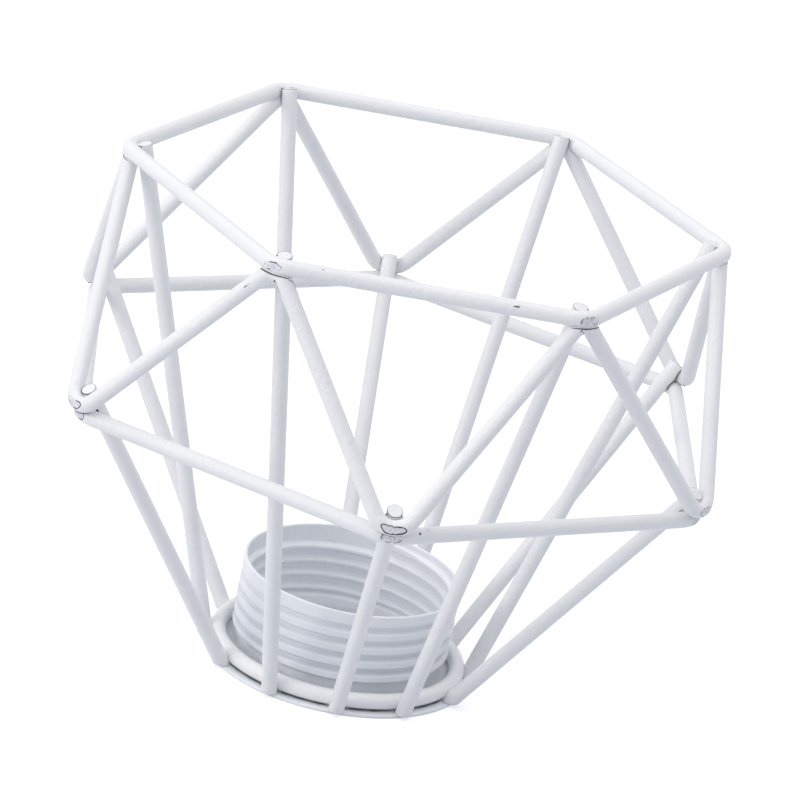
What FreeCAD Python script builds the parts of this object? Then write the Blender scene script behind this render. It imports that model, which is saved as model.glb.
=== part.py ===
import FreeCAD, Part
import math
import os
from enum import IntEnum

import Sketcher
from FreeCAD import Placement, Rotation, Vector

# Cage guard for a lamp bulb: a threaded sheet-metal collar that carries a welded cage of round wire.
# Two wire hexagons, the waist and the smaller rim turned half a step from it, are tied together by one
# zigzag wire and carried by twelve straight uprights that stand on the collar's flange.
# Millimetres, +Z up along the collar's axis, origin at the middle of the flange's underside.

SIDES = 6
STEP = 360 / SIDES
HALF_STEP = STEP / 2

# How a sketch numbers the points of a line or arc, and its own horizontal axis, which starts at the origin
START_POINT, END_POINT, CENTRE_POINT = IntEnum("SketchPoint", "START END CENTRE")
AXIS_OF_SKETCH = -1

DRIVING_SIZES = [
    ("wire_diameter", 3.0, "every wire of the cage"),
    ("weld_setdown", 0.3, "how far two wires are pressed into one another at a weld"),
    ("rim_brace_setdown", 1.25, "how far the zigzag's upper bends are pressed into the rim's underside"),
    ("weld_flat_depth", 0.2, "depth of the flat that the welding tip leaves on an outer corner"),
    ("rim_corner_radius", 57.0, "axis to the sharp corner of the rim's centre line"),
    ("rim_height", 95.0, "flange underside to the rim's centre line"),
    ("waist_corner_radius", 66.0, "axis to the sharp corner of the waist's centre line"),
    ("waist_height", 54.2, "flange underside to the waist's centre line"),
    ("ring_bend_radius", 5.0, "centre line of the bends in the rim and the waist"),
    ("brace_top_bend_radius", 2.5, "centre line of the zigzag's bends under the rim"),
    ("brace_foot_bend_radius", 4.0, "centre line of the zigzag's bends on the waist"),
    ("rim_upright_end", 0.5, "rim's centre line to the cut end of the uprights welded inside it"),
    ("waist_upright_end", 1.5, "zigzag's centre line on the waist to the cut end of the uprights inside it"),
    ("base_ring_clearance", 0.75, "thread's crests to the inside of the base ring"),
    ("base_ring_gap", 0.2, "flange to the underside of the base ring"),
    ("sheet_thickness", 0.6, "sheet of the collar"),
    ("bore_radius", 19.4, "inside of the collar between the thread's turns"),
    ("neck_height", 1.9, "plain stretch from the flange's bend to the lowest turn"),
    ("lip_height", 2.2, "plain band at the collar's top edge"),
    ("thread_depth", 1.0, "how far the rolled turns stand out"),
    ("thread_pitch", 2.88, "from turn to turn"),
    ("thread_crest", 1.2, "flat top of a turn"),
    ("thread_valley", 0.5, "flat between two turns"),
    ("thread_turns", 4, "rolled turns below the lip"),
    ("flange_reach", 2.65, "base ring's centre line to the flange's edge"),
    ("flange_bend_radius", 2.0, "outer bend from the sleeve into the flange"),
]

# Lengths that follow from the driving sizes, as formulas of the sheet
WIRE_RADIUS = "(Sizes.wire_diameter / 2)"
WELD_PITCH = "(Sizes.wire_diameter - Sizes.weld_setdown)"
RIM_BRACE_PITCH = "(Sizes.wire_diameter - Sizes.rim_brace_setdown)"
CORNER_LOSS = f"(Sizes.ring_bend_radius * (1 / cos({HALF_STEP}) - 1))"
RIM_APEX = f"(Sizes.rim_corner_radius - {CORNER_LOSS})"
WAIST_APEX = f"(Sizes.waist_corner_radius - {CORNER_LOSS})"
SLEEVE_RADIUS = "(Sizes.bore_radius + Sizes.sheet_thickness)"
CREST_RADIUS = f"({SLEEVE_RADIUS} + Sizes.thread_depth)"
THREAD_FLANK = "((Sizes.thread_pitch - Sizes.thread_crest - Sizes.thread_valley) / 2)"
BEND_TOP = "(Sizes.sheet_thickness + Sizes.flange_bend_radius)"
TURN_FOOT = f"({BEND_TOP} + Sizes.neck_height)"
LIP_FOOT = f"({TURN_FOOT} + Sizes.thread_turns * Sizes.thread_pitch)"
LIP_START = f"({LIP_FOOT} + {THREAD_FLANK})"
COLLAR_TOP = f"({LIP_START} + Sizes.lip_height)"
BASE_RING_RADIUS = f"({CREST_RADIUS} + Sizes.base_ring_clearance + {WIRE_RADIUS})"
BASE_RING_HEIGHT = f"(Sizes.sheet_thickness + Sizes.base_ring_gap + {WIRE_RADIUS})"
FLANGE_RADIUS = f"({BASE_RING_RADIUS} + Sizes.flange_reach)"

doc = FreeCAD.newDocument("bulb_cage_guard")
sheet = doc.addObject("Spreadsheet::Sheet", "Sizes")
for row, (alias, size, note) in enumerate(DRIVING_SIZES, start=1):
    sheet.set(f"A{row}", note)
    sheet.set(f"B{row}", str(size))
    sheet.setAlias(f"B{row}", alias)
doc.recompute()


def value(formula):
    """The number that a formula of the sheet gives."""
    result = sheet.evalExpression(formula)
    return float(getattr(result, "Value", result))


def origin_feature(body, role):
    """One of a body's own origin planes or axes."""
    return next(item for item in body.Origin.OriginFeatures if item.Role == role)


def new_sketch(body, name, role, lift=None):
    """An empty sketch on one of the body's origin planes, raised along the plane's normal by a formula."""
    sketch = body.newObject("Sketcher::SketchObject", name)
    sketch.AttachmentSupport = [(origin_feature(body, role), "")]
    sketch.MapMode = "FlatFace"
    if lift:
        sketch.setExpression("AttachmentOffset.Base.z", lift)
    return sketch


def fix_coordinate(sketch, kind, geometry, point, formula):
    """Ties one coordinate of a sketch point to a formula of the sheet."""
    from_origin = Sketcher.Constraint(kind, AXIS_OF_SKETCH, START_POINT, geometry, point, value(formula))
    index = sketch.addConstraint(from_origin)
    sketch.setExpression(f"Constraints[{index}]", formula)


def fix_point(sketch, geometry, point, across, up):
    """Ties both coordinates of a sketch point to formulas of the sheet."""
    fix_coordinate(sketch, "DistanceX", geometry, point, across)
    fix_coordinate(sketch, "DistanceY", geometry, point, up)


def outline_sketch(body, name, role, corners, arc_centres=None, lift=None):
    """A closed outline through corners given as pairs of formulas.

    arc_centres gives, for the edges that are arcs, the centre's formulas by the edge's number.
    """
    sketch = new_sketch(body, name, role, lift)
    arc_centres = arc_centres or {}
    places = [Vector(value(across), value(up), 0) for across, up in corners]
    ends = []
    for number, start in enumerate(places):
        end = places[(number + 1) % len(places)]
        if number not in arc_centres:
            sketch.addGeometry(Part.LineSegment(start, end), False)
            ends.append((START_POINT, END_POINT))
            continue
        centre = Vector(*[value(formula) for formula in arc_centres[number]], 0)
        circle = Part.Circle(centre, Vector(0, 0, 1), (start - centre).Length)
        turns_left = (start - centre).cross(end - centre).z > 0
        first, last = (start, end) if turns_left else (end, start)
        first_angle, last_angle = [math.atan2(p.y - centre.y, p.x - centre.x) for p in (first, last)]
        if last_angle < first_angle:
            last_angle += 2 * math.pi
        sketch.addGeometry(Part.ArcOfCircle(circle, first_angle, last_angle), False)
        ends.append((START_POINT, END_POINT) if turns_left else (END_POINT, START_POINT))
    for number, (across, up) in enumerate(corners):
        before = number - 1 if number else len(corners) - 1
        meeting = Sketcher.Constraint("Coincident", before, ends[before][1], number, ends[number][0])
        sketch.addConstraint(meeting)
        fix_point(sketch, number, ends[number][0], across, up)
    for number, (across, _) in arc_centres.items():
        fix_coordinate(sketch, "DistanceX", number, CENTRE_POINT, across)
    return sketch


def revolve(body, kind, name, sketch):
    """Turns a sketch once around the body's upright axis, as added or as removed material."""
    feature = body.newObject(kind, name)
    feature.Profile = sketch
    feature.ReferenceAxis = (sketch, ["V_Axis"])
    feature.Angle = 360
    return feature


def threaded_collar():
    """Sleeve with a flange and a lip, and the rolled turns of its thread."""
    body = doc.addObject("PartDesign::Body", "threaded_collar")
    bend_middle = f"({SLEEVE_RADIUS} + Sizes.flange_bend_radius)"
    lip_inside = "(Sizes.bore_radius + Sizes.thread_depth)"
    sleeve_corners = [
        (FLANGE_RADIUS, "0"),
        (FLANGE_RADIUS, "Sizes.sheet_thickness"),
        (bend_middle, "Sizes.sheet_thickness"),
        (SLEEVE_RADIUS, BEND_TOP),
        (SLEEVE_RADIUS, LIP_FOOT),
        (CREST_RADIUS, LIP_START),
        (CREST_RADIUS, COLLAR_TOP),
        (lip_inside, COLLAR_TOP),
        (lip_inside, LIP_START),
        ("Sizes.bore_radius", LIP_FOOT),
        ("Sizes.bore_radius", BEND_TOP),
        (bend_middle, "0"),
    ]
    bends = {2: (bend_middle, BEND_TOP), 10: (bend_middle, BEND_TOP)}
    sleeve = outline_sketch(body, "sleeve_outline", "XZ_Plane", sleeve_corners, bends)
    revolve(body, "PartDesign::Revolution", "sleeve", sleeve)

    # The lowest turn, pushed out on the outside and hollow on the inside by the same amount
    crest_foot = f"({TURN_FOOT} + {THREAD_FLANK})"
    crest_top = f"({crest_foot} + Sizes.thread_crest)"
    turn_top = f"({crest_top} + {THREAD_FLANK})"
    turned = []
    for name, kind, wall in (("turn_outside", "PartDesign::Revolution", SLEEVE_RADIUS),
                             ("turn_inside", "PartDesign::Groove", "Sizes.bore_radius")):
        crest = f"({wall} + Sizes.thread_depth)"
        corners = [(wall, TURN_FOOT), (crest, crest_foot), (crest, crest_top), (wall, turn_top)]
        outline = outline_sketch(body, name + "_outline", "XZ_Plane", corners)
        turned.append(revolve(body, kind, name, outline))
    doc.recompute()
    thread = body.newObject("PartDesign::LinearPattern", "thread")
    thread.Originals = turned
    thread.Direction = (origin_feature(body, "Z_Axis"), [""])
    thread.setExpression("Length", "(Sizes.thread_turns - 1) * Sizes.thread_pitch")
    thread.setExpression("Occurrences", "Sizes.thread_turns")
    body.Tip = thread
    return body


def bent_ring(label, corner_radius, height, turn):
    """A wire bent to a hexagon with rounded corners, the first of them at the given turn from +X."""
    body = doc.addObject("PartDesign::Body", label)
    path = new_sketch(body, label + "_path", "XY_Plane", height)
    bend = value("Sizes.ring_bend_radius")
    centre_radius = f"({corner_radius} - Sizes.ring_bend_radius / cos({HALF_STEP}))"
    arcs = []
    for side in range(SIDES):
        angle = math.radians(side * STEP)
        spread = math.radians(HALF_STEP)
        centre = Vector(math.cos(angle), math.sin(angle), 0) * value(centre_radius)
        circle = Part.Circle(centre, Vector(0, 0, 1), bend)
        arcs.append(Part.ArcOfCircle(circle, angle - spread, angle + spread))
    for side, arc in enumerate(arcs):
        following = arcs[(side + 1) % SIDES]
        path.addGeometry(arc, False)
        path.addGeometry(Part.LineSegment(arc.EndPoint, following.StartPoint), False)
    for side in range(SIDES):
        arc, line, next_arc = 2 * side, 2 * side + 1, (2 * side + 2) % (2 * SIDES)
        path.addConstraint(Sketcher.Constraint("Tangent", arc, END_POINT, line, START_POINT))
        path.addConstraint(Sketcher.Constraint("Tangent", line, END_POINT, next_arc, START_POINT))
        if side:
            path.addConstraint(Sketcher.Constraint("Equal", 0, arc))
        across = f"({centre_radius} * cos({side * STEP}))"
        up = f"({centre_radius} * sin({side * STEP}))"
        fix_point(path, arc, CENTRE_POINT, across, up)
    radius = path.addConstraint(Sketcher.Constraint("Radius", 0, bend))
    path.setExpression(f"Constraints[{radius}]", "Sizes.ring_bend_radius")

    # The wire's round section, in the plane through the axis that cuts the side facing +Y
    section = new_sketch(body, label + "_section", "YZ_Plane")
    apothem = f"({corner_radius} * cos({HALF_STEP}))"
    start = Vector(value(apothem), value(height), 0)
    section.addGeometry(Part.Circle(start, Vector(0, 0, 1), value(WIRE_RADIUS)), False)
    fix_point(section, 0, CENTRE_POINT, apothem, height)
    radius = section.addConstraint(Sketcher.Constraint("Radius", 0, value(WIRE_RADIUS)))
    section.setExpression(f"Constraints[{radius}]", WIRE_RADIUS)
    wire = body.newObject("PartDesign::AdditivePipe", label + "_wire")
    wire.Profile = section
    wire.Spine = (path, [])

    # Flats that the welding tip leaves on the outer corners
    apex = f"({corner_radius} - {CORNER_LOSS})"
    flat_start = f"({apex} + {WIRE_RADIUS} - Sizes.weld_flat_depth)"
    flat_end = f"({apex} + Sizes.wire_diameter)"
    flat_side = "Sizes.wire_diameter"
    other_side = f"(0 - {flat_side})"
    corners = [(flat_start, other_side), (flat_end, other_side),
               (flat_end, flat_side), (flat_start, flat_side)]
    outline = outline_sketch(body, label + "_flat_outline", "XY_Plane", corners, lift=height)
    flat = body.newObject("PartDesign::Pocket", label + "_flat")
    flat.Profile = outline
    flat.Type = "Length"
    flat.Midplane = True
    flat.setExpression("Length", "2 * Sizes.wire_diameter")
    doc.recompute()
    flats = body.newObject("PartDesign::PolarPattern", label + "_flats")
    flats.Originals = [flat]
    flats.Axis = (origin_feature(body, "Z_Axis"), [""])
    flats.Angle = 360
    flats.Occurrences = SIDES
    body.Tip = flats
    body.Placement = Placement(Vector(0, 0, 0), Rotation(Vector(0, 0, 1), turn))
    return body


def base_ring():
    """Closed round wire ring around the collar, welded inside the uprights' feet."""
    ring = doc.addObject("Part::Torus", "base_ring")
    ring.setExpression("Radius1", BASE_RING_RADIUS)
    ring.setExpression("Radius2", WIRE_RADIUS)
    ring.setExpression("Placement.Base.z", BASE_RING_HEIGHT)
    return ring


def upright_lean(apex_radius, height):
    """Formula of the lean of an upright outside the base ring below and inside a cage ring above."""
    across = f"({apex_radius} - {BASE_RING_RADIUS})"
    rise = f"({height} - {BASE_RING_HEIGHT})"
    length = f"sqrt({across} ^ 2 + {rise} ^ 2)"
    return f"(atan2({across}; {rise}) - asin(2 * {WELD_PITCH} / {length}))"


RIM_LEAN = upright_lean(RIM_APEX, "Sizes.rim_height")
WAIST_LEAN = upright_lean(WAIST_APEX, "Sizes.waist_height")


def brace_corner(lean, apex_radius, height, rise):
    """Centre of a brace bend that lies above a cage ring by a rise along the outside of the leaning upright."""
    angle = math.radians(value(lean))
    across = value(apex_radius) + value(rise) * math.sin(angle)
    up = value(height) + value(rise) * math.cos(angle)
    return Vector(across, 0, up)


def turned_about_axis(point, degrees):
    """A point turned around the cage's upright axis."""
    return Rotation(Vector(0, 0, 1), degrees).multVec(point)


def sharp_corners(top_apex, foot_apex, top_bend, foot_bend):
    """Corners of the straight zigzag whose rounded bends pass through the two apexes."""
    top, foot = Vector(top_apex), Vector(foot_apex)
    settling_rounds = 40
    for _ in range(settling_rounds):
        moved = []
        for apex, corner, other, bend in ((top_apex, top, foot, top_bend), (foot_apex, foot, top, foot_bend)):
            legs = [(turned_about_axis(other, way * HALF_STEP) - corner).normalize() for way in (-1, 1)]
            inward = (legs[0] + legs[1]).normalize()
            half_opening = legs[0].getAngle(legs[1]) / 2
            moved.append(apex - inward * bend * (1 / math.sin(half_opening) - 1))
        top, foot = moved
    return top, foot


def brace_bend(corner, other, apex, bend):
    """Half a leg, a bend and half a leg, swept with the wire's section."""
    half_leg_ends = [(turned_about_axis(other, way * HALF_STEP) + corner) / 2 for way in (-1, 1)]
    legs = [(end - corner).normalize() for end in half_leg_ends]
    reach = bend / math.tan(legs[0].getAngle(legs[1]) / 2)
    tangents = [corner + leg * reach for leg in legs]
    path = Part.Wire([
        Part.LineSegment(half_leg_ends[0], tangents[0]).toShape(),
        Part.Arc(tangents[0], apex, tangents[1]).toShape(),
        Part.LineSegment(tangents[1], half_leg_ends[1]).toShape(),
    ])
    section = Part.Wire(Part.makeCircle(value(WIRE_RADIUS), half_leg_ends[0], legs[0]))
    solid, frenet = True, True
    return path.makePipeShell([section], solid, frenet)


def zigzag_brace(rim, waist):
    """One wire bent up and down around the cage, pressed under the rim and onto the waist at its bends."""
    top_bend = value("Sizes.brace_top_bend_radius")
    foot_bend = value("Sizes.brace_foot_bend_radius")
    top_apex = brace_corner(RIM_LEAN, RIM_APEX, "Sizes.rim_height", f"0 - {RIM_BRACE_PITCH}")
    foot_apex = brace_corner(WAIST_LEAN, WAIST_APEX, "Sizes.waist_height", WELD_PITCH)
    top, foot = sharp_corners(top_apex, foot_apex, top_bend, foot_bend)
    upper_bend = brace_bend(top, foot, top_apex, top_bend)
    lower_bend = brace_bend(foot, top, foot_apex, foot_bend)

    # The welding tip's flat on the outside of a lower bend
    depth = value("Sizes.weld_flat_depth")
    block = 4 * value("Sizes.wire_diameter")
    flat_start = foot_apex.x + value(WIRE_RADIUS) - depth
    tip = Part.makeBox(block, block, block, Vector(flat_start, -block / 2, foot_apex.z - block / 2))
    lower_bend = lower_bend.cut(tip)

    axis = Vector(0, 0, 1)
    bends = []
    for side in range(SIDES):
        bends.append(upper_bend.rotated(Vector(), axis, side * STEP))
        bends.append(lower_bend.rotated(Vector(), axis, side * STEP + HALF_STEP))
    wire = doc.addObject("Part::Feature", "brace_wire")
    wire.Shape = bends[0].multiFuse(bends[1:]).removeSplitter()
    wire.Placement = Placement()
    return pressed_against("zigzag_brace", wire, [rim, waist])


def pressed_against(label, blank, neighbours):
    """The blank with a seat cut into it by each neighbour."""
    seated = blank
    for number, neighbour in enumerate(neighbours, start=1):
        cut = doc.addObject("Part::Cut", f"{label}_seat_{number}")
        cut.Base = seated
        cut.Tool = neighbour
        seated = cut
    seated.Label = label
    return seated


def upright(label, lean, height, end_past_ring, turn, neighbours):
    """A straight wire from the flange to a cage corner, leaning out, with its seats cut in.

    end_past_ring is how far its cut end lies past the ring at the given height.
    """
    blank = doc.addObject("Part::Cylinder", label + "_wire")
    blank.setExpression("Radius", WIRE_RADIUS)
    foot_across = f"({BASE_RING_RADIUS} + {WELD_PITCH} * cos({lean}))"
    foot_up = f"({BASE_RING_HEIGHT} - {WELD_PITCH} * sin({lean}))"
    top_up = f"({height} + {WELD_PITCH} * sin({lean}))"
    run = f"(({top_up} - {foot_up}) / cos({lean}))"
    spare = "Sizes.wire_diameter * 2"
    blank.setExpression("Height", f"{spare} + {run} + {end_past_ring}")
    start_across = f"({foot_across} - {spare} * sin({lean}))"
    start_up = f"({foot_up} - {spare} * cos({lean}))"
    start = f"vector({start_across} * cos({turn}); {start_across} * sin({turn}); {start_up})"
    leaning = f"rotation(vector(0; 0; 1); {turn}) * rotation(vector(0; 1; 0); {lean})"
    blank.setExpression("Placement", f"placement({start}; {leaning})")
    return pressed_against(label, blank, neighbours)


def flange_level():
    """Block that reaches up to the flange's upper face, which trims the uprights' feet."""
    block = doc.addObject("Part::Cylinder", "flange_level")
    block.setExpression("Radius", f"2 * {FLANGE_RADIUS}")
    block.setExpression("Height", FLANGE_RADIUS)
    block.setExpression("Placement.Base.z", f"Sizes.sheet_thickness - {FLANGE_RADIUS}")
    return block


collar = threaded_collar()
rim = bent_ring("rim_ring", "Sizes.rim_corner_radius", "Sizes.rim_height", 0)
waist = bent_ring("waist_ring", "Sizes.waist_corner_radius", "Sizes.waist_height", HALF_STEP)
base = base_ring()
doc.recompute()
brace = zigzag_brace(rim, waist)
floor_of_feet = flange_level()
sub_parts = [collar, base, waist, rim, brace]
for side in range(SIDES):
    label = f"rim_upright_{side + 1}"
    neighbours = [rim, brace, base, floor_of_feet]
    end = "Sizes.rim_upright_end"
    sub_parts.append(upright(label, RIM_LEAN, "Sizes.rim_height", end, side * STEP, neighbours))
for side in range(SIDES):
    label = f"waist_upright_{side + 1}"
    neighbours = [waist, brace, base, floor_of_feet]
    turn = side * STEP + HALF_STEP
    end = f"({WELD_PITCH} + Sizes.waist_upright_end)"
    sub_parts.append(upright(label, WAIST_LEAN, "Sizes.waist_height", end, turn, neighbours))
doc.recompute()

for item in doc.Objects:
    if "Invalid" in item.State or "Error" in item.State:
        raise RuntimeError(f"{item.Label} failed: {item.State}")
for piece in sub_parts:
    if piece.Shape.isNull() or not piece.Shape.isValid() or len(piece.Shape.Solids) != 1:
        raise RuntimeError(f"{piece.Label} is not one valid solid")

os.makedirs("parts", exist_ok=True)
for piece in sub_parts:
    piece.Shape.exportStep(f"parts/{piece.Label}.step")
    print(f"{piece.Label}: {piece.Shape.Volume:.1f} mm3")
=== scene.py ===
import math

import bpy
import numpy as np
from mathutils import Matrix, Vector


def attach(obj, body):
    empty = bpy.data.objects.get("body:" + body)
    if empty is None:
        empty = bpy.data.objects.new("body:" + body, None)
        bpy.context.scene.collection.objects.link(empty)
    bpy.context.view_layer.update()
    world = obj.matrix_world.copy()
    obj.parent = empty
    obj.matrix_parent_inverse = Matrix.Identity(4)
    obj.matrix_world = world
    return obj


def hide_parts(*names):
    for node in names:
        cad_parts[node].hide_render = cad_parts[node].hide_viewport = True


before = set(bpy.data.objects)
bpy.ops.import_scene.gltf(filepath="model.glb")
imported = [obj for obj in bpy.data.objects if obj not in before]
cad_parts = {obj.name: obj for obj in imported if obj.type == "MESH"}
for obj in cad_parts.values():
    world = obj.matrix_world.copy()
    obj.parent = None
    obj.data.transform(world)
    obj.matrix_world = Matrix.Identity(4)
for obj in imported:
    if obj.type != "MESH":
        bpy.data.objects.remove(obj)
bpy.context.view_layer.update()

# Bulb cage guard: white powder-coated steel wire, spot-welded on a collar of rolled sheet.
# Lengths are millimetres in the frame of the solids, and become metres when a mesh is made.

METRES = 0.001
UP = np.array([0.0, 0.0, 1.0])
# Rim and waist are hexagons
SIDES = 6
CORNER_ANGLE = 2 * math.pi / SIDES

# Sizes of the wire cage
WIRE_RADIUS = 1.5
WELD_SETDOWN = 0.3
WELD_PITCH = 2 * WIRE_RADIUS - WELD_SETDOWN
RIM_BRACE_SETDOWN = 1.25
RIM_BRACE_PITCH = 2 * WIRE_RADIUS - RIM_BRACE_SETDOWN
WELD_FLAT_DEPTH = 0.2
RIM_CORNER_RADIUS = 57.0
RIM_HEIGHT = 95.0
WAIST_CORNER_RADIUS = 66.0
WAIST_HEIGHT = 54.2
RING_BEND_RADIUS = 5.0
BRACE_TOP_BEND_RADIUS = 2.5
BRACE_FOOT_BEND_RADIUS = 4.0
RIM_UPRIGHT_END = 0.5
WAIST_UPRIGHT_END = 1.5

# Sizes of the collar and the base ring
SHEET = 0.6
BORE_RADIUS = 19.4
FLANGE_BEND_RADIUS = 2.0
NECK_HEIGHT = 1.9
THREAD_PITCH = 2.88
THREAD_DEPTH = 1.0
THREAD_TURNS = 4
THREAD_VALLEY = 0.5
THREAD_FLANK = 0.59
LIP_HEIGHT = 2.2
BASE_RING_CLEARANCE = 0.75
BASE_RING_GAP = 0.2
FLANGE_REACH = 2.65
SLEEVE_RADIUS = BORE_RADIUS + SHEET
CREST_RADIUS = SLEEVE_RADIUS + THREAD_DEPTH
BEND_TOP = SHEET + FLANGE_BEND_RADIUS
TURN_FOOT = BEND_TOP + NECK_HEIGHT
LIP_FOOT = TURN_FOOT + THREAD_TURNS * THREAD_PITCH
COLLAR_TOP = LIP_FOOT + THREAD_FLANK + LIP_HEIGHT
BASE_RING_RADIUS = CREST_RADIUS + BASE_RING_CLEARANCE + WIRE_RADIUS
BASE_RING_HEIGHT = SHEET + BASE_RING_GAP + WIRE_RADIUS
FLANGE_RADIUS = BASE_RING_RADIUS + FLANGE_REACH

# Rounding of a ring's corner takes this much off its reach
CORNER_LOSS = RING_BEND_RADIUS * (1 / math.cos(CORNER_ANGLE / 2) - 1)
RIM_APEX = RIM_CORNER_RADIUS - CORNER_LOSS
WAIST_APEX = WAIST_CORNER_RADIUS - CORNER_LOSS

# How finely a wire is drawn: points around it, and steps along its plain runs and near its welds
AROUND_WIRE = 40
PLAIN_STEP = 2.0
WELD_STEP = 0.3
WELD_REACH = 5.0


# Materials

def linear(hex_colour):
    """An sRGB hex colour as linear red, green, blue and alpha."""
    channels = [int(hex_colour[place:place + 2], 16) / 255 for place in (1, 3, 5)]
    return [c / 12.92 if c <= 0.04045 else ((c + 0.055) / 1.055) ** 2.4 for c in channels] + [1.0]


def add_node(tree, kind, settings=None, **links):
    """Adds a node, sets its properties and sockets, and links the sockets that are given as outputs."""
    node = tree.nodes.new(kind)
    for name, setting in (settings or {}).items():
        setattr(node, name, setting)
    for name, given in links.items():
        socket = node.inputs[name.replace("_", " ")]
        if isinstance(given, bpy.types.NodeSocket):
            tree.links.new(given, socket)
        else:
            socket.default_value = given
    return node


def new_material(name):
    """A material with an empty node tree."""
    material = bpy.data.materials.new(name)
    material.use_nodes = True
    material.node_tree.nodes.clear()
    return material


def per_metre(millimetres):
    """Texture scale that repeats a pattern once in a length."""
    return 1 / (millimetres * METRES)


# Name of the mesh value that tells how much painted shade greys the coat, from 0 to 1
PAINTED_SHADE_VALUE = "painted_shade"


def powder_coat(name, bright, dull, roughness, painted_shade_colour=None):
    """Powder coat baked on steel: a thick satin skin with orange peel, greyed where a mesh value paints shade
    on it.
    """
    cover_patch = 9.0
    # The peel is drawn deeper than a real one, so that it shows
    peel_width = 0.9
    peel_depth = 0.22
    peel_strength = 0.7
    glossier = 0.06
    duller = 0.08
    material = new_material(name)
    tree = material.node_tree
    place = add_node(tree, "ShaderNodeTexCoord").outputs["Object"]
    cover_and_shade = add_node(tree, "ShaderNodeTexNoise", Vector=place, Scale=per_metre(cover_patch), Detail=3.0)
    tint = add_node(tree, "ShaderNodeMix", {"data_type": "RGBA"}, Factor=cover_and_shade.outputs["Fac"])
    tint.inputs["A"].default_value = linear(bright)
    tint.inputs["B"].default_value = linear(dull)
    # Painted shade: the tint greys as the mesh value rises
    if painted_shade_colour:
        painted_shade = add_node(tree, "ShaderNodeAttribute", {"attribute_name": PAINTED_SHADE_VALUE})
        full_tint = tint.outputs["Result"]
        tint = add_node(tree, "ShaderNodeMix", {"data_type": "RGBA"}, Factor=painted_shade.outputs["Fac"])
        tree.links.new(full_tint, tint.inputs["A"])
        tint.inputs["B"].default_value = linear(painted_shade_colour)
    peel = add_node(tree, "ShaderNodeTexNoise", Vector=place, Scale=per_metre(peel_width), Detail=2.0)
    gloss = add_node(tree, "ShaderNodeMapRange", Value=peel.outputs["Fac"])
    gloss.inputs["To Min"].default_value = roughness - glossier
    gloss.inputs["To Max"].default_value = roughness + duller
    skin = add_node(tree, "ShaderNodeBump", Height=peel.outputs["Fac"],
                    Strength=peel_strength, Distance=peel_depth * METRES)
    coat = add_node(tree, "ShaderNodeBsdfPrincipled", Roughness=gloss.outputs["Result"], IOR=1.5)
    tree.links.new(tint.outputs["Result"], coat.inputs["Base Color"])
    tree.links.new(skin.outputs["Normal"], coat.inputs["Normal"])
    add_node(tree, "ShaderNodeOutputMaterial", Surface=coat.outputs["BSDF"])
    return material


def patchy(name, one, other, grain_size, roughness):
    """A dull surface of two colours in irregular grains."""
    material = new_material(name)
    tree = material.node_tree
    place = add_node(tree, "ShaderNodeTexCoord").outputs["Object"]
    grains = add_node(tree, "ShaderNodeTexNoise", Vector=place, Scale=per_metre(grain_size), Detail=3.0)
    sharper = add_node(tree, "ShaderNodeMapRange", Value=grains.outputs["Fac"], From_Min=0.35, From_Max=0.65)
    tint = add_node(tree, "ShaderNodeMix", {"data_type": "RGBA"}, Factor=sharper.outputs["Result"])
    tint.inputs["A"].default_value = linear(one)
    tint.inputs["B"].default_value = linear(other)
    surface = add_node(tree, "ShaderNodeBsdfPrincipled", Roughness=roughness, IOR=1.5)
    tree.links.new(tint.outputs["Result"], surface.inputs["Base Color"])
    add_node(tree, "ShaderNodeOutputMaterial", Surface=surface.outputs["BSDF"])
    return material


COAT_ON_WIRE = powder_coat("white_powder_coat_on_wire", bright="#F7F7F6", dull="#EEEFF0", roughness=0.38)
# The collar's coat takes painted shade low on its outside and in its grooves
COAT_ON_SHEET = powder_coat("white_powder_coat_on_sheet", bright="#F7F9FB", dull="#ECEFF3", roughness=0.32,
                            painted_shade_colour="#B6BCC7")
# The coat lies thin on the welding flats, so the steel greys it in grains
THIN_COAT = patchy("thin_powder_coat_on_welding_flats", "#F7F7F8", "#C9CDD4", grain_size=0.5, roughness=0.55)
# Near-black lines: scorched steel and dust in the coat's cracks, and painted shade in crevices between parts
# and under beads
DARK_CRACKS_AND_SHADE = patchy("dark_coat_cracks_and_painted_crevice_shade", "#14171C", "#4A5059", grain_size=0.6, roughness=0.7)


# Centre lines

def around_axis(radius, angle, height):
    """A point at a radius and an angle from the cage's axis."""
    return np.array([radius * math.cos(angle), radius * math.sin(angle), height])


def unit(vector):
    """The vector at length one."""
    return vector / np.linalg.norm(vector)


def turned(points, angle):
    """Points turned around the cage's axis."""
    cosine, sine = math.cos(angle), math.sin(angle)
    return points @ np.array([[cosine, sine, 0], [-sine, cosine, 0], [0, 0, 1]])


def run_steps(length, first_reach=WELD_REACH, last_reach=WELD_REACH):
    """Distances along a straight run, close together near its welded ends."""
    marks = [np.arange(0, first_reach, WELD_STEP),
             np.arange(first_reach, length - last_reach, PLAIN_STEP),
             np.arange(length - last_reach, length, WELD_STEP),
             [length]]
    return np.concatenate(marks)


def straight(start, end):
    """Points along a straight run."""
    length = np.linalg.norm(end - start)
    return start + np.outer(run_steps(length) / length, end - start)


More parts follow.
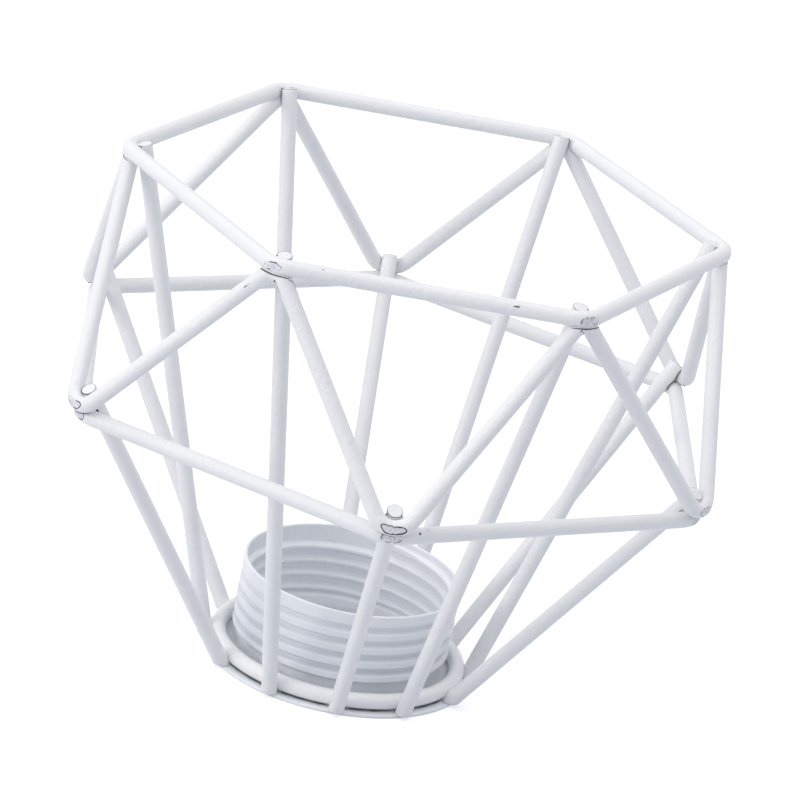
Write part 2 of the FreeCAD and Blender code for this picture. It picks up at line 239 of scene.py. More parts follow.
def bent_loop(corners, bends):
    """Points along a closed wire of straight runs and round bends, from the middle of a run."""
    fewest_steps = 4
    arcs = []
    for number, (corner, bend) in enumerate(zip(corners, bends)):
        back = unit(corners[number - 1] - corner)
        onward = unit(corners[(number + 1) % len(corners)] - corner)
        half_opening = math.acos(np.dot(back, onward)) / 2
        centre = corner + unit(back + onward) * bend / math.sin(half_opening)
        reach = bend / math.tan(half_opening)
        first = corner + back * reach - centre
        last = corner + onward * reach - centre
        sweep = math.pi - 2 * half_opening
        steps = max(fewest_steps, round(sweep * bend / WELD_STEP))
        arc = []
        for share in np.arange(steps + 1) / steps:
            of_first, of_last = math.sin((1 - share) * sweep), math.sin(share * sweep)
            arc.append((of_first * first + of_last * last) / math.sin(sweep))
        arcs.append(centre + np.array(arc))
    loop = []
    for number, arc in enumerate(arcs):
        following = arcs[(number + 1) % len(arcs)]
        loop.append(arc[:-1])
        loop.append(straight(arc[-1], following[0])[:-1])
    middle_of_last_run = len(loop[-1]) // 2
    return np.roll(np.concatenate(loop), middle_of_last_run, axis=0)


def upright_lean(apex, height):
    """Lean of an upright that lies outside the base ring below and inside a cage ring above."""
    across = apex - BASE_RING_RADIUS
    rise = height - BASE_RING_HEIGHT
    return math.atan2(across, rise) - math.asin(2 * WELD_PITCH / math.hypot(across, rise))


def brace_apex(lean, apex, height, rise):
    """Middle of a brace bend that lies above a ring by a rise along the leaning upright."""
    return np.array([apex + rise * math.sin(lean), 0, height + rise * math.cos(lean)])


def brace_corners(top_apex, foot_apex):
    """Corners of the straight zigzag whose rounded bends pass through the two apexes."""
    # Each round brings the corners nearer to where they no longer move
    rounds = 40
    top, foot = top_apex, foot_apex
    for _ in range(rounds):
        moved = []
        for apex, corner, other, bend in ((top_apex, top, foot, BRACE_TOP_BEND_RADIUS),
                                          (foot_apex, foot, top, BRACE_FOOT_BEND_RADIUS)):
            legs = [unit(turned(other, way * CORNER_ANGLE / 2) - corner) for way in (-1, 1)]
            half_opening = math.acos(np.dot(*legs)) / 2
            moved.append(apex - unit(legs[0] + legs[1]) * bend * (1 / math.sin(half_opening) - 1))
        top, foot = moved
    return top, foot


RIM_LEAN = upright_lean(RIM_APEX, RIM_HEIGHT)
WAIST_LEAN = upright_lean(WAIST_APEX, WAIST_HEIGHT)
BRACE_TOP = brace_apex(RIM_LEAN, RIM_APEX, RIM_HEIGHT, -RIM_BRACE_PITCH)
BRACE_FOOT = brace_apex(WAIST_LEAN, WAIST_APEX, WAIST_HEIGHT, WELD_PITCH)
RIM_ANGLES = [side * CORNER_ANGLE for side in range(SIDES)]
WAIST_ANGLES = [(side + 0.5) * CORNER_ANGLE for side in range(SIDES)]


def ring_line(radius, angles, height):
    """Centre line of the rim or the waist."""
    return bent_loop([around_axis(radius, angle, height) for angle in angles], [RING_BEND_RADIUS] * SIDES)


def brace_line():
    """Centre line of the zigzag."""
    top, foot = brace_corners(BRACE_TOP, BRACE_FOOT)
    corners = []
    for rim_angle, waist_angle in zip(RIM_ANGLES, WAIST_ANGLES):
        corners.append(turned(top, rim_angle))
        corners.append(turned(foot, waist_angle))
    return bent_loop(corners, [BRACE_TOP_BEND_RADIUS, BRACE_FOOT_BEND_RADIUS] * SIDES)


def base_ring_line():
    """Centre line of the base ring."""
    step_length = 0.6
    steps = round(2 * math.pi * BASE_RING_RADIUS / step_length)
    turns = np.arange(steps) * 2 * math.pi / steps
    return np.array([around_axis(BASE_RING_RADIUS, turn, BASE_RING_HEIGHT) for turn in turns])


# Meshes

def sweep_sides(line, closed):
    """Two directions across a centre line at each of its points, carried along it without twist."""
    if closed:
        tangents = np.roll(line, -1, 0) - np.roll(line, 1, 0)
    else:
        tangents = np.gradient(line, axis=0)
    tangents /= np.linalg.norm(tangents, axis=1)[:, None]
    steep = 0.9
    start = UP if abs(tangents[0][2]) < steep else np.array([1.0, 0, 0])
    side = unit(start - tangents[0] * np.dot(start, tangents[0]))
    sides = []
    for tangent in tangents:
        side = unit(side - tangent * np.dot(side, tangent))
        sides.append(side)
    sides = np.array(sides)
    others = np.cross(tangents, sides)
    if closed:
        back = unit(sides[-1] - tangents[0] * np.dot(sides[-1], tangents[0]))
        slip = math.atan2(np.dot(back, others[0]), np.dot(back, sides[0]))
        untwist = -slip * np.arange(len(line))[:, None] / len(line)
        sides, others = (sides * np.cos(untwist) + others * np.sin(untwist),
                         others * np.cos(untwist) - sides * np.sin(untwist))
    return sides, others


def tube(line, closed, radii, around=AROUND_WIRE):
    """Points and faces of a round wire along a centre line; radii is one number or one for each point."""
    sides, others = sweep_sides(line, closed)
    angles = np.arange(around) * 2 * math.pi / around
    radii = np.broadcast_to(radii, len(line))[:, None, None]
    along_sides = np.cos(angles)[None, :, None] * sides[:, None, :]
    along_others = np.sin(angles)[None, :, None] * others[:, None, :]
    points = (line[:, None, :] + radii * (along_sides + along_others)).reshape(-1, 3)
    faces = []
    spans = len(line) if closed else len(line) - 1
    for span in range(spans):
        low, high = span * around, (span + 1) % len(line) * around
        for place in range(around):
            after = (place + 1) % around
            faces.append((low + place, low + after, high + after, high + place))
    if not closed:
        faces.append(tuple(range(around - 1, -1, -1)))
        faces.append(tuple(range((len(line) - 1) * around, len(line) * around)))
    return points, faces


def nearest_on(line, closed, points):
    """For each point, the nearest place on a centre line."""
    starts = line if closed else line[:-1]
    spans = (np.roll(line, -1, 0) if closed else line[1:]) - starts
    lengths = (spans ** 2).sum(1)
    places = np.empty_like(points)
    points_at_once = 1500
    for first in range(0, len(points), points_at_once):
        part = points[first:first + points_at_once]
        offsets = part[:, None, :] - starts[None]
        shares = np.clip((offsets * spans[None]).sum(2) / lengths, 0, 1)
        candidates = starts[None] + shares[:, :, None] * spans[None]
        choice = ((part[:, None, :] - candidates) ** 2).sum(2).argmin(1)
        places[first:first + points_at_once] = candidates[np.arange(len(part)), choice]
    return places


def gaps_to(points, line):
    """Nearest places on a closed neighbouring wire and the gaps to its skin; far points get a wide gap."""
    wide_gap = 2 * WIRE_RADIUS
    low, high = line.min(0) - wide_gap, line.max(0) + wide_gap
    close = ((points > low) & (points < high)).all(1)
    places = np.zeros_like(points)
    places[close] = nearest_on(line, True, points[close])
    gaps = np.full(len(points), wide_gap)
    gaps[close] = np.linalg.norm(points[close] - places[close], axis=1) - WIRE_RADIUS
    return places, gaps


def press_into(points, line):
    """Points of a wire that would lie inside a closed neighbouring wire are pushed back to its skin."""
    places, gaps = gaps_to(points, line)
    inside = gaps < 0
    away = points[inside] - places[inside]
    pressed = points.copy()
    pressed[inside] = places[inside] + away * (WIRE_RADIUS / np.linalg.norm(away, axis=1))[:, None]
    return pressed


def flatten_corners(points, angles, reach, height):
    """Presses the welding tip's flat into each outer corner, and tells which points lie on a flat."""
    tip_half_width = 6.0
    on_flat = np.zeros(len(points), bool)
    for angle in angles:
        outward = around_axis(1, angle, 0)
        corner = around_axis(reach, angle, height)
        near = np.linalg.norm(points - corner, axis=1) < tip_half_width
        proud = np.clip(points @ outward - reach, 0, None) * near
        points = points - np.outer(proud, outward)
        on_flat |= proud > 0
    return points, on_flat


def new_piece(name, node, points, faces, material_numbers):
    """A mesh piece that replaces a node of the solids."""
    mesh = bpy.data.meshes.new(name)
    mesh.from_pydata((points * METRES).tolist(), [], faces)
    for material in [COAT_ON_SHEET] if node == "threaded_collar" else WIRE_MATERIALS:
        mesh.materials.append(material)
    mesh.polygons.foreach_set("material_index", material_numbers)
    mesh.polygons.foreach_set("use_smooth", [True] * len(faces))
    mesh.update()
    piece = bpy.data.objects.new(name, mesh)
    bpy.context.scene.collection.objects.link(piece)
    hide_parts(node)
    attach(piece, "root")
    return piece


def joined(parts):
    """Points, faces and material numbers of several meshes in one."""
    points, faces, numbers = [], [], []
    for part_points, part_faces, part_numbers in parts:
        start = sum(len(chunk) for chunk in points)
        points.append(part_points)
        faces += [tuple(start + place for place in face) for face in part_faces]
        numbers += part_numbers
    return np.concatenate(points), faces, numbers


# Dark lines: cracks in the coat around the welding flats, and painted shade where two wires meet

COAT, DARK_LINE, FLAT = 0, 1, 2
DARK_LINE_RADIUS = 0.15
CRACK_INSET = 0.16
# Cracks around a flat, and the painted shade along a leg, lie under the skin by this share of their radius
DARK_LINE_SINK = 0.5
# Painted shade between two wires runs where they have opened this far, which the eye sees under the upper
# wire
MEETING_GAP = 0.35
WAIST_MEETING_GAP = 0.65
# How strongly the painted crevice shade between two wires, and the crack round each upright's cut end,
# show at each corner, counted from +X by way of +Y: the front seen by the camera comes second to last on the
# waist
RIM_CRACKS_AND_CREVICE_SHADE = (0.4, 0.8, 1.2, 0.7, 1.1, 1.0)
WAIST_CRACKS_AND_CREVICE_SHADE = (0.9, 0.8, 1.2, 1.3, 0.8, 0.5)
# Cracks around each corner's flat: where one starts and how far it runs, in shares of the outline,
# and how strong it is. An outline starts on the right, seen from outside the cage, and runs up and
# over to the left.
FAINT = [(0.05, 0.38, 0.45), (0.55, 0.36, 0.45)]
BROKEN = [(0.12, 0.17, 0.7), (0.34, 0.06, 0.8), (0.44, 0.1, 0.8), (0.6, 0.05, 0.6), (0.9, 0.07, 0.6)]
RIM_FLAT_CRACKS = [FAINT, FAINT, FAINT, FAINT, [(0.02, 0.4, 1.0), (0.58, 0.08, 0.8)], BROKEN]
BRACE_FLAT_CRACKS = [FAINT, FAINT, FAINT, [(0.76, 0.44, 0.9), (0.5, 0.16, 0.6)], [(0.4, 1.0, 1.25)], BROKEN]
WAIST_FLAT_CRACKS = [FAINT, FAINT, FAINT, [(0.8, 0.4, 0.8)],
                     [(0.42, 0.14, 0.8), (0.62, 0.16, 0.6), (0.88, 0.14, 0.7)], FAINT]
# Painted shade as dark lines along both sides of the zigzag's leg that runs from the rim's front left corner
# to the front seen by the camera: how strong each is, and places that it passes
LEG_CREVICE_SHADE = [
    (0.75, [(-25.6, -50.4, 93.1), (-24.9, -50.0, 92.9), (-24.5, -49.8, 92.4),
            (-24.0, -50.0, 91.8), (-23.2, -50.4, 90.8)]),
    (0.6, [(-28.0, -49.5, 92.3), (-27.3, -49.9, 91.5), (-26.9, -50.3, 91.0), (-26.3, -50.6, 90.2)]),
]
# Grains in the coat: the place, half its length along the wire, the radius of its bead and that of
# the dark speck, or of the painted shadow under the bead
RIM_GRAINS = [((15.2, -50.5, 96.0), 0.6, 0.3, 0.14), ((-19.9, -50.1, 96.3), 0.25, 0.2, 0.05)]
BRACE_GRAINS = [((-32.4, -47.4, 90.0), 0.8, 0.3, 0.12), ((-27.9, -49.6, 92.3), 0.3, 0, 0.28),
                ((27.5, -50.2, 93.1), 0.25, 0, 0.16), ((28.0, -50.0, 92.7), 0.15, 0, 0.15)]
WAIST_GRAINS = [((5.3, -64.3, 55.2), 0.25, 0, 0.25), ((6.7, -62.8, 55.6), 0.6, 0.45, 0)]
# Thickness along a crack or a grain follows a sine over half a turn, less this angle at both tips
TIP_ANGLE = 0.2


def dark_line_radii(count, strength, seed):
    """Half widths along a dark line: uneven, and narrow at both ends."""
    steps = np.arange(count)
    mean_width = 0.8
    short_waves = 0.14 * np.sin(0.37 * steps + 5 * seed)
    long_waves = 0.1 * np.sin(0.15 * steps + 11 * seed)
    bluntness = 0.4
    taper = np.sin(np.linspace(TIP_ANGLE, math.pi - TIP_ANGLE, count)) ** bluntness
    return DARK_LINE_RADIUS * strength * (mean_width + short_waves + long_waves) * taper


# Draws the coat's cracks, and also the painted shade in crevices
def dark_line(line, radii):
    """A dark line along the given points."""
    around_crack = 8
    points, faces = tube(line, False, radii, around_crack)
    return points, faces, [DARK_LINE] * len(faces)


def shade_line_on_skin(line, strength, places):
    """A dark line of painted shade on the skin of a closed wire that passes the given places."""
    marks_per_place = 8
    places = np.array(places)
    marks = np.linspace(0, len(places) - 1, marks_per_place * len(places))
    path = np.stack([np.interp(marks, np.arange(len(places)), column) for column in places.T], 1)
    middles = nearest_on(line, True, path)
    radii = dark_line_radii(len(path), strength, len(path))
    away = path - middles
    away *= ((WIRE_RADIUS - DARK_LINE_SINK * radii) / np.linalg.norm(away, axis=1))[:, None]
    return dark_line(middles + away, radii)


def flat_outline(line, reach, height):
    """Outline of the flat at the corner on +X: places across and up, at even turns around its middle."""
    outline_points = 96
    search_reach = 5
    search_step = 0.02
    corner_reach = 12
    turns = np.arange(outline_points) * 2 * math.pi / outline_points
    distances = np.arange(0, search_reach, search_step)
    across = np.outer(np.cos(turns), distances)
    up = np.outer(np.sin(turns), distances)
    places = np.stack([np.full(across.size, reach), across.ravel(), height + up.ravel()], 1)
    near = line[np.linalg.norm(line - [reach, 0, height], axis=1) < corner_reach]
    order = np.argsort(near[:, 1])
    gaps = np.linalg.norm(places - nearest_on(near[order], False, places), axis=1)
    inside = (gaps < WIRE_RADIUS).reshape(across.shape)
    edge = np.where(inside.all(1), inside.shape[1] - 1, inside.argmin(1))
    radii = distances[edge] - CRACK_INSET
    return np.stack([radii * np.cos(turns), radii * np.sin(turns)], 1)


def grain(line, place, half_length, bead_radius, speck_or_shadow_radius):
    """A bead of coat, a dark speck, or a bead with a painted shadow under its lower edge, on the skin of a
    closed wire.
    """
    marks_along = 9
    around_grain = 12
    sink = 0.4
    shadow_drop = 0.9 * bead_radius
    middle = nearest_on(line, True, np.array([place]))[0]
    nearest = ((line - middle) ** 2).sum(1).argmin()
    along = unit(line[(nearest + 1) % len(line)] - line[nearest - 1])
    outward = unit(np.array(place) - middle)
    lower = unit(outward * np.dot(outward, UP) - UP)
    shape = np.linspace(TIP_ANGLE, math.pi - TIP_ANGLE, marks_along)
    spine = middle + WIRE_RADIUS * outward - half_length * np.outer(np.cos(shape), along)
    parts = []
    for radius, slip, material_number in ((bead_radius, 0, COAT), (speck_or_shadow_radius, shadow_drop, DARK_LINE)):
        if radius:
            sunk = spine - sink * radius * outward + slip * lower
            points, faces = tube(sunk, False, radius * np.sin(shape), around_grain)
            parts.append((points, faces, [material_number] * len(faces)))
    return parts


def crack_around(outline, reach, height, angle, start, share, strength):
    """Cracking that follows a share of a flat's outline, from a given start around it."""
    count = len(outline)
    first = round(start * count)
    radii = dark_line_radii(round(share * count) + 1, strength, start + angle)
    line = []
    for step, radius in enumerate(radii):
        place = (first + step) % count
        around = 2 * math.pi * place / count
        broad_lumps = 0.07 * math.sin(3 * around + 7 * angle)
        small_lumps = 0.05 * math.sin(7 * around + 3 * angle)
        across, up = (1 + broad_lumps + small_lumps) * outline[place]
        line.append([reach - DARK_LINE_SINK * radius, across, height + up])
    return dark_line(turned(np.array(line), angle), radii)


def end_crack(middle, axis, strength):
    """Fine cracking around an upright's cut end, wider on the side away from the cage's axis."""
    marks_around = 49
    inset = 0.1
    thinnest = 0.035
    wider = 0.06
    outward = unit(middle * [1, 1, 0])
    outward = unit(outward - axis * np.dot(outward, axis))
    sideways = np.cross(axis, outward)
    turns = np.linspace(-math.pi, math.pi, marks_around)
    radius = WIRE_RADIUS - inset
    line = [middle + radius * (math.cos(turn) * outward + math.sin(turn) * sideways) for turn in turns]
    radii = strength * (thinnest + wider * np.cos(turns / 2) ** 4)
    return dark_line(np.array(line), radii)


def meeting_lines(points, neighbour, gap, outer_only):
    """Lines on a wire's skin at a gap from its neighbour; outer_only keeps the side away from the axis."""
    fewest_points = 5
    rows = points.reshape(-1, AROUND_WIRE, 3)
    row_gaps = gaps_to(points, neighbour)[1].reshape(-1, AROUND_WIRE)
    runs = [[]]
    for row, gaps in zip(rows, row_gaps):
        inside = gaps < gap
        edges = np.flatnonzero(inside != np.roll(inside, -1))
        if len(edges) != 2:
            runs.append([])
            continue
        after = (edges + 1) % AROUND_WIRE
        share = ((gaps[edges] - gap) / (gaps[edges] - gaps[after]))[:, None]
        places = row[edges] + share * (row[after] - row[edges])
        order = np.argsort(places[:, 0] ** 2 + places[:, 1] ** 2) if outer_only else np.argsort(inside[edges])
        runs[-1].append(places[order])
    lines = []
    for run in runs:
        if len(run) >= fewest_points:
            lines += [np.array(run)[:, 1]] if outer_only else [np.array(run)[:, 0], np.array(run)[:, 1]]
    return lines


# Wires

RIM_LINE = ring_line(RIM_CORNER_RADIUS, RIM_ANGLES, RIM_HEIGHT)
WAIST_LINE = ring_line(WAIST_CORNER_RADIUS, WAIST_ANGLES, WAIST_HEIGHT)
BRACE_LINE = brace_line()
BASE_RING_LINE = base_ring_line()
# Flats lie a little deeper than in the solids, so that the cracks' dark edges stay within the solids' reach
FLAT_SLACK = 0.1
RIM_FLAT = RIM_APEX + WIRE_RADIUS - WELD_FLAT_DEPTH - FLAT_SLACK
WAIST_FLAT = WAIST_APEX + WIRE_RADIUS - WELD_FLAT_DEPTH - FLAT_SLACK
BRACE_FLAT = BRACE_FOOT[0] + WIRE_RADIUS - WELD_FLAT_DEPTH - FLAT_SLACK
WIRE_MATERIALS = [COAT_ON_WIRE, DARK_CRACKS_AND_SHADE, THIN_COAT]


def flattened_part(points, faces, angles, reach, height):
    """A wire with its welding flats, as points, faces and material numbers."""
    points, on_flat = flatten_corners(points, angles, reach, height)
    return points, faces, [FLAT if on_flat[list(face)].all() else COAT for face in faces]


def cracks_around_flats(line, angles, reach, height, cracks_by_corner):
    """Cracks around the welding flats of a wire."""
    outline = flat_outline(turned(line, -angles[0]), reach, height)
    return [crack_around(outline, reach, height, angle, *one_crack)
            for angle, cracks in zip(angles, cracks_by_corner) for one_crack in cracks]


def grains_on(line, grains):
    """Beads and specks on a wire."""
    return [part for one_grain in grains for part in grain(line, *one_grain)]


def ring_piece(node, line, angles, reach, height, cracks_by_corner, grains):
    """Rim or waist with its flats, the cracks around them and the grains in its coat."""
    points, faces = tube(line, True, WIRE_RADIUS)
    parts = [flattened_part(points, faces, angles, reach, height)]
    parts += cracks_around_flats(line, angles, reach, height, cracks_by_corner)
    parts += grains_on(line, grains)
    new_piece(node + "_wire", node, *joined(parts))


def brace_piece():
    """Zigzag pressed under the rim and onto the waist."""
    points, faces = tube(BRACE_LINE, True, WIRE_RADIUS)
    parts = []
    for neighbour, gap, strengths in ((RIM_LINE, MEETING_GAP, RIM_CRACKS_AND_CREVICE_SHADE),
                                      (WAIST_LINE, WAIST_MEETING_GAP, WAIST_CRACKS_AND_CREVICE_SHADE)):
        # Painted shade: dark lines in the crevices under the rim and over the waist
        for number, line in enumerate(meeting_lines(points, neighbour, gap, True)):
            parts.append(dark_line(line, dark_line_radii(len(line), strengths[number], number)))
        points = press_into(points, neighbour)
    parts.append(flattened_part(points, faces, WAIST_ANGLES, BRACE_FLAT, BRACE_FOOT[2]))
    parts += cracks_around_flats(BRACE_LINE, WAIST_ANGLES, BRACE_FLAT, BRACE_FOOT[2], BRACE_FLAT_CRACKS)
    parts += [shade_line_on_skin(BRACE_LINE, *leg_shade) for leg_shade in LEG_CREVICE_SHADE]
    parts += grains_on(BRACE_LINE, BRACE_GRAINS)
    new_piece("zigzag_brace_wire", "zigzag_brace", *joined(parts))


def base_ring_piece():
    """Base ring, with a dark line of painted shade between the feet, in the gap below it."""
    points, faces = tube(BASE_RING_LINE, True, WIRE_RADIUS)
    parts = [(points, faces, [COAT] * len(faces))]
    # Painted shade in the narrow gap between the ring and the flange
    shade_line_outset = 0.95
    shade_line_lift = 0.32
    shade_line_strength = 1.0
    shade_line_marks = 40
    foot_room = 1.2
    shade_line_radius = BASE_RING_RADIUS + shade_line_outset
    shade_line_height = SHEET + shade_line_lift
    foot_half_angle = foot_room * WIRE_RADIUS / shade_line_radius
    for foot_angle in RIM_ANGLES + WAIST_ANGLES:
        next_foot_angle = foot_angle + CORNER_ANGLE / 2
        turns = np.linspace(foot_angle + foot_half_angle, next_foot_angle - foot_half_angle, shade_line_marks)
        line = np.array([around_axis(shade_line_radius, turn, shade_line_height) for turn in turns])
        parts.append(dark_line(line, dark_line_radii(len(line), shade_line_strength, foot_angle)))
    new_piece("base_ring_wire", "base_ring", *joined(parts))


def upright_piece(node, lean, height, end_past_ring, angle, ring, strength):
    """A straight wire from the flange to a cage corner, its foot trimmed flat and its cut end softened."""
    foot_reach = 8.0
    top_reach = 10.0
    softening = 0.3
    foot_softening = 0.5 * softening
    end_crack_depth = 0.08
    bend_marks = 6
    axis = np.array([math.sin(lean), 0, math.cos(lean)])
    contact = np.array([BASE_RING_RADIUS + WELD_PITCH * math.cos(lean), 0,
                        BASE_RING_HEIGHT - WELD_PITCH * math.sin(lean)])
    foot = contact + axis * (SHEET - contact[2]) / axis[2]
    ring_up = height + WELD_PITCH * math.sin(lean)
    length = (ring_up - foot[2]) / axis[2] + end_past_ring
    slant_reach = WIRE_RADIUS * math.tan(lean) + softening
    marks = slant_reach + run_steps(length - slant_reach - softening, foot_reach, top_reach)
    bends = np.linspace(0, math.pi / 2, bend_marks)[1:]
    end_marks = length - softening + softening * np.sin(bends)
    end_radii = WIRE_RADIUS - softening + softening * np.cos(bends)
    radii = np.concatenate([[WIRE_RADIUS - foot_softening], np.full(len(marks) + 1, WIRE_RADIUS), end_radii])
    marks = np.concatenate([[0, foot_softening], marks, end_marks])
    points, faces = tube(foot + np.outer(marks, axis), False, radii)
    for ring_number, level in enumerate((SHEET, SHEET + foot_softening)):
        row = slice(ring_number * AROUND_WIRE, (ring_number + 1) * AROUND_WIRE)
        points[row] += np.outer((level - points[row, 2]) / axis[2], axis)
    points = turned(points, angle)
    crack_middle = foot + axis * (length - end_crack_depth)
    parts = [end_crack(turned(crack_middle, angle), turned(axis, angle), strength)]
    # Painted shade: dark lines in the crevices where the upright meets its ring and the zigzag
    for neighbour in (ring, BRACE_LINE):
        for line in meeting_lines(points, neighbour, MEETING_GAP, False):
            parts.append(dark_line(line, dark_line_radii(len(line), strength, angle)))
    for line in (ring, BRACE_LINE, BASE_RING_LINE):
        points = press_into(points, line)
    parts.append((points, faces, [COAT] * len(faces)))
    new_piece(node + "_wire", node, *joined(parts))


# Collar

# Puts the uppermost groove at the photo's front 3.2 mm under the lip's edge
THREAD_START = 0.646
# The thread starts and runs out at the back, on +Y, a quarter turn from +X
BACK_TURN = 0.25
RUN_OUT_START = 0.85
# Flanks are longer than in the solids by this much at both ends, which softens their edges
FLANK_SOFTENING = 0.08
# The lowest turn rises out of the neck between these heights
ROLL_LOW = TURN_FOOT - 0.8
ROLL_HIGH = TURN_FOOT + 0.6


def smooth_step(value, low, high):
    """0 below low, 1 above high and an even curve between them."""
    share = np.clip((value - low) / (high - low), 0, 1)
    return share * share * (3 - 2 * share)


def turn_height(height, angle):
    """How far the rolled thread, a right-hand helix, stands out: from 0 to 1."""
    from_back = (angle / (2 * math.pi) - BACK_TURN) % 1
    phase = (height - TURN_FOOT) / THREAD_PITCH - from_back + THREAD_START
    from_groove = np.abs(phase - np.round(phase)) * THREAD_PITCH
    groove_edge = 0.5 * THREAD_VALLEY - FLANK_SOFTENING
    crest_edge = 0.5 * THREAD_VALLEY + THREAD_FLANK + FLANK_SOFTENING
    turn = smooth_step(from_groove, groove_edge, crest_edge)
    rolled = smooth_step(height, ROLL_LOW, ROLL_HIGH)
    last_groove = THREAD_TURNS
    run_out = smooth_step(from_back, RUN_OUT_START, 1.0) * (phase > last_groove - 0.5)
    lip = phase > last_groove + 0.5
    return np.maximum(np.maximum(turn, run_out) * rolled, lip)


def flange_bend(radius, turns):
    """Profile of one side of the bend from the flange to the sleeve."""
    middle = SLEEVE_RADIUS + FLANGE_BEND_RADIUS
    return [(middle - radius * math.sin(turn), BEND_TOP - radius * math.cos(turn)) for turn in turns]


def collar_profile():
    """Radius and height around the collar's sheet without its thread, and how many places are outside."""
    flange_edge = 0.12
    lip_edge = 0.25
    lip_round = 0.5 * SHEET
    bend_foot = SLEEVE_RADIUS + FLANGE_BEND_RADIUS
    bend_room = 0.2
    sleeve_marks = 130
    bend_marks = 9
    flange_top_marks = 12
    flange_underside_marks = 10
    heights = np.linspace(BEND_TOP, COLLAR_TOP - lip_edge, sleeve_marks)
    bend = np.linspace(0, math.pi / 2, bend_marks)
    over_lip = np.linspace(0, math.pi, bend_marks)[1:-1]
    flange_top = np.linspace(FLANGE_RADIUS - 3 * flange_edge, bend_foot + bend_room, flange_top_marks)
    flange_underside = np.linspace(bend_foot, FLANGE_RADIUS - flange_edge, flange_underside_marks)[1:-1]
    outside = [(FLANGE_RADIUS - flange_edge, 0), (FLANGE_RADIUS, flange_edge),
               (FLANGE_RADIUS, SHEET - flange_edge), (FLANGE_RADIUS - flange_edge, SHEET)]
    outside += [(radius, SHEET) for radius in flange_top]
    outside += flange_bend(FLANGE_BEND_RADIUS, bend)
    outside += [(SLEEVE_RADIUS, height) for height in heights[1:]]
    lip = [(SLEEVE_RADIUS - lip_round + lip_round * math.cos(turn),
            COLLAR_TOP - lip_edge + lip_edge * math.sin(turn)) for turn in over_lip]
    inside = [(BORE_RADIUS, height) for height in heights[::-1]]
    inside += flange_bend(FLANGE_BEND_RADIUS + SHEET, bend[::-1][1:])
    inside += [(radius, 0) for radius in flange_underside]
    return np.array(outside + lip + inside), len(outside)


def collar_piece():
    """Rolled sheet collar: flange, bend, sleeve with a helical thread and a lip, one skin all round."""
    around = 192
    profile, outside_count = collar_profile()
    radii, heights = profile.T
    # Painted shade: behind the wires the coat is greyed towards the foot of the thread, and most in its
    # grooves
    shade_on_crests = 0.3
    more_shade_in_grooves = 0.3
    lowness = np.clip((COLLAR_TOP - heights) / (COLLAR_TOP - BEND_TOP), 0, 1)
    lowness *= smooth_step(heights, BEND_TOP, ROLL_HIGH)
    lowness[outside_count:] = 0
    rows = []
    painted_shade = []
    for place in range(around):
        angle = 2 * math.pi * place / around
        turn = turn_height(heights, angle) * (heights > BEND_TOP)
        reach = radii + THREAD_DEPTH * turn
        painted_shade.append(lowness * (shade_on_crests + more_shade_in_grooves * (1 - turn)))
        rows.append(np.stack([reach * math.cos(angle), reach * math.sin(angle), heights], 1))
    count = len(profile)
    faces = []
    for place in range(around):
        here, there = place * count, (place + 1) % around * count
        for step in range(count):
            after = (step + 1) % count
            faces.append((here + step, there + step, there + after, here + after))
    points = np.concatenate(rows)
    piece = new_piece("threaded_collar_sheet", "threaded_collar", points, faces, [COAT] * len(faces))
    cover_and_shade = piece.data.attributes.new(PAINTED_SHADE_VALUE, "FLOAT", "POINT")
    cover_and_shade.data.foreach_set("value", np.concatenate(painted_shade))


ring_piece("rim_ring", RIM_LINE, RIM_ANGLES, RIM_FLAT, RIM_HEIGHT, RIM_FLAT_CRACKS, RIM_GRAINS)
ring_piece("waist_ring", WAIST_LINE, WAIST_ANGLES, WAIST_FLAT, WAIST_HEIGHT, WAIST_FLAT_CRACKS, WAIST_GRAINS)
brace_piece()
base_ring_piece()
for number in range(SIDES):
    upright_piece(f"rim_upright_{number + 1}", RIM_LEAN, RIM_HEIGHT, RIM_UPRIGHT_END,
                  RIM_ANGLES[number], RIM_LINE, RIM_CRACKS_AND_CREVICE_SHADE[number])
    upright_piece(f"waist_upright_{number + 1}", WAIST_LEAN, WAIST_HEIGHT, WELD_PITCH + WAIST_UPRIGHT_END,
                  WAIST_ANGLES[number], WAIST_LINE, WAIST_CRACKS_AND_CREVICE_SHADE[number])
collar_piece()


# Studio: white floor, soft light from above and from the left, white all round. Its lengths are metres.

FLOOR_SIZE = 8.0
FLOOR_GLOW = 0.55
SURROUNDINGS_LEVEL = 0.585
GUARD_MIDDLE = (0, 0, 0.05)


def seen_directly(tree):
    """1 for rays from the camera, a reflection or through glass, and 0 for rays that only carry light."""
    ray = add_node(tree, "ShaderNodeLightPath")
    seen = ray.outputs["Is Camera Ray"]
    for other in ("Is Glossy Ray", "Is Transmission Ray"):
        either = add_node(tree, "ShaderNodeMath", {"operation": "MAXIMUM"})
        tree.links.new(seen, either.inputs[0])
        tree.links.new(ray.outputs[other], either.inputs[1])
        seen = either.outputs["Value"]
    return seen


def studio_floor():
    """Large white floor that reads as pure white to the eye and still takes the guard's shadow."""
    bpy.ops.mesh.primitive_plane_add(size=FLOOR_SIZE, location=(0, 0, 0))
    floor = bpy.context.object
    floor.name = "studio_floor"
    material = new_material("white_studio_floor")
    tree = material.node_tree
    paint = add_node(tree, "ShaderNodeBsdfDiffuse", Color=linear("#D6D8DE"))
    glow = add_node(tree, "ShaderNodeEmission", Color=linear("#FFFFFF"), Strength=FLOOR_GLOW)
    lit = add_node(tree, "ShaderNodeAddShader")
    tree.links.new(paint.outputs["BSDF"], lit.inputs[0])
    tree.links.new(glow.outputs["Emission"], lit.inputs[1])
    mix = add_node(tree, "ShaderNodeMixShader", Fac=seen_directly(tree))
    tree.links.new(paint.outputs["BSDF"], mix.inputs[1])
    tree.links.new(lit.outputs["Shader"], mix.inputs[2])
    add_node(tree, "ShaderNodeOutputMaterial", Surface=mix.outputs["Shader"])
    floor.data.materials.append(material)


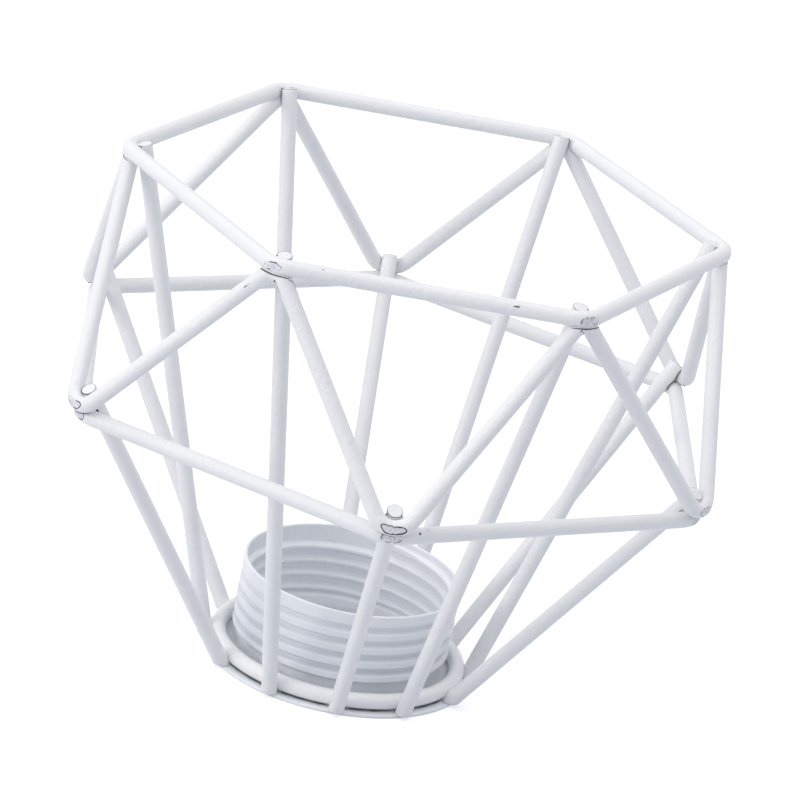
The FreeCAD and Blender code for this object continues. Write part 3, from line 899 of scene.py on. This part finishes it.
def studio_world():
    """White surroundings: a plain level of cool light, and pure white where they are seen."""
    world = bpy.data.worlds.new("white_studio")
    bpy.context.scene.world = world
    world.use_nodes = True
    tree = world.node_tree
    tree.nodes.clear()
    seen = seen_directly(tree)
    level = add_node(tree, "ShaderNodeMapRange", Value=seen)
    level.inputs["To Min"].default_value = SURROUNDINGS_LEVEL
    level.inputs["To Max"].default_value = 1.0
    tint = add_node(tree, "ShaderNodeMix", {"data_type": "RGBA"}, Factor=seen)
    tint.inputs["A"].default_value = linear("#F0F4FF")
    tint.inputs["B"].default_value = linear("#FFFFFF")
    sky = add_node(tree, "ShaderNodeBackground",
                   Color=tint.outputs["Result"], Strength=level.outputs["Result"])
    add_node(tree, "ShaderNodeOutputWorld", Surface=sky.outputs["Background"])


def soft_light(name, place, size, power):
    """A square soft box, aimed at the guard."""
    lamp = bpy.data.lights.new(name, "AREA")
    lamp.size = size
    lamp.energy = power
    lamp.color = linear("#FFFCF7")[:3]
    holder = bpy.data.objects.new(name, lamp)
    holder.location = place
    holder.rotation_euler = (Vector(GUARD_MIDDLE) - Vector(place)).to_track_quat("-Z", "Y").to_euler()
    bpy.context.scene.collection.objects.link(holder)


studio_floor()
studio_world()
soft_light("soft_box_above", place=(-0.1, 0, 1.35), size=2.0, power=10.6)
soft_light("soft_box_left", place=(-1.3, -0.5, 0.45), size=0.8, power=6.3)

# Camera: a long lens, looking down on the guard with the frame tipped anticlockwise

FOCAL_PIXELS = 5594.74
FRAME_PIXELS = 800
SENSOR = 36.0
FARTHEST_SEEN = 20
YAW, PITCH, ROLL = 0.08223, 0.37102, -0.20102
EYE = Vector((-78.52, -980.39, 437.34)) * METRES

forward = Vector((math.sin(YAW) * math.cos(PITCH), math.cos(YAW) * math.cos(PITCH), -math.sin(PITCH)))
level_right = Vector((math.cos(YAW), -math.sin(YAW), 0))
level_down = forward.cross(level_right)
right = math.cos(ROLL) * level_right + math.sin(ROLL) * level_down
down = -math.sin(ROLL) * level_right + math.cos(ROLL) * level_down
lens = bpy.data.cameras.new("photo_camera")
lens.sensor_width = SENSOR
lens.lens = FOCAL_PIXELS / FRAME_PIXELS * SENSOR
lens.clip_end = FARTHEST_SEEN
camera = bpy.data.objects.new("photo_camera", lens)
camera.matrix_world = Matrix.Translation(EYE) @ Matrix((right, -down, -forward)).transposed().to_4x4()
bpy.context.scene.collection.objects.link(camera)
bpy.context.scene.camera = camera
bpy.context.scene.view_settings.view_transform = "Standard"
